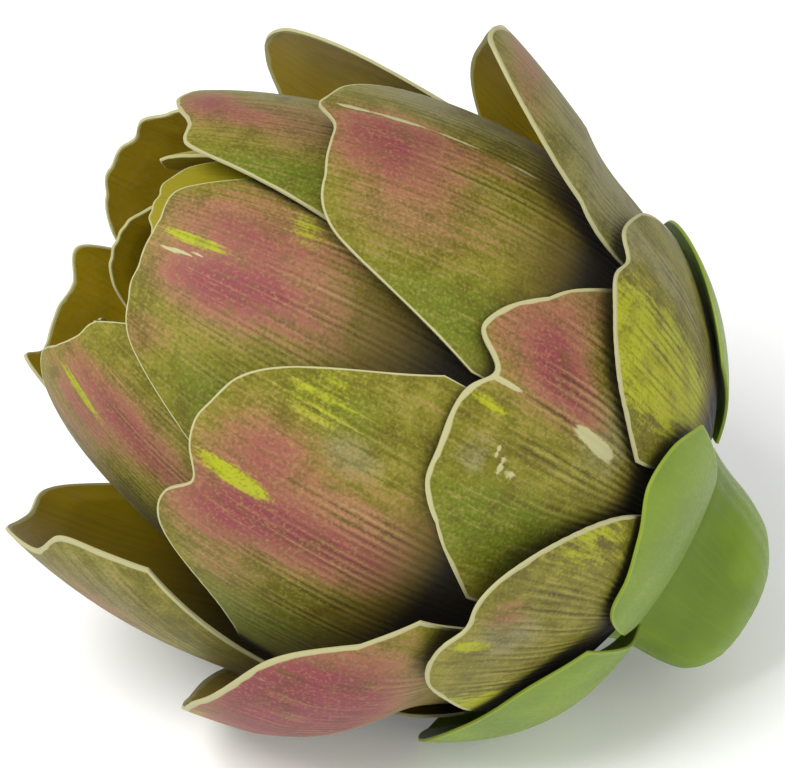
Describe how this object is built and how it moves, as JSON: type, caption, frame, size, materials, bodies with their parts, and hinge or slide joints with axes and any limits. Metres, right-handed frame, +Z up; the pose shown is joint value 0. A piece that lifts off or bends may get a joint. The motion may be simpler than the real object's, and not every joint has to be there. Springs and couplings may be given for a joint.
{
  "type": "globe artichoke",
  "caption": "Globe artichoke lying on its side: an egg-shaped head of overlapping broad bracts on a short cut stem, pressed flat where it rests.",
  "frame": {"origin": "on the surface it rests on, under the middle of its bounding box", "axes": "+Z up; the head's tip points to -X and is raised by about 31 degrees, the cut stem points to +X, and the front is -Y"},
  "size_m": [0.114, 0.1006, 0.105],
  "materials": {
    "stem_tissue": "smooth waxy fresh green, slightly glossy",
    "sepal": "smooth waxy yellow-green with a paler rim",
    "bract": "satin olive green flushed with purple-pink, finely ribbed lengthwise, with a cream rim",
    "young_leaf": "smooth olive yellow with a pale rim"
  },
  "bodies": {
    "root": {"stem_and_heart": "stem_tissue", "sepal_front": "sepal", "sepal_top": "sepal", "sepal_under": "sepal", "sepal_back": "sepal", "row1_top": "bract", "row1_front": "bract", "row1_under": "bract", "row1_back": "bract", "row2_back_top": "bract", "row2_front_top": "bract", "row2_front_under": "bract", "row2_back_under": "bract", "row3_top": "bract", "row3_front": "bract", "row3_under": "bract", "row3_back": "bract", "row4_top": "bract", "row4_front_top": "bract", "row4_front_under": "bract", "row4_under": "bract", "row4_back": "bract", "inner_leaf_1": "young_leaf", "inner_leaf_2": "young_leaf", "inner_leaf_3": "young_leaf", "inner_leaf_4": "young_leaf", "inner_leaf_5": "young_leaf", "core_leaf_1": "young_leaf", "core_leaf_2": "young_leaf", "core_leaf_3": "young_leaf", "core_leaf_4": "young_leaf", "bud_leaf_1": "young_leaf", "bud_leaf_2": "young_leaf", "bud_leaf_3": "young_leaf"}
  },
  "joints": []
}
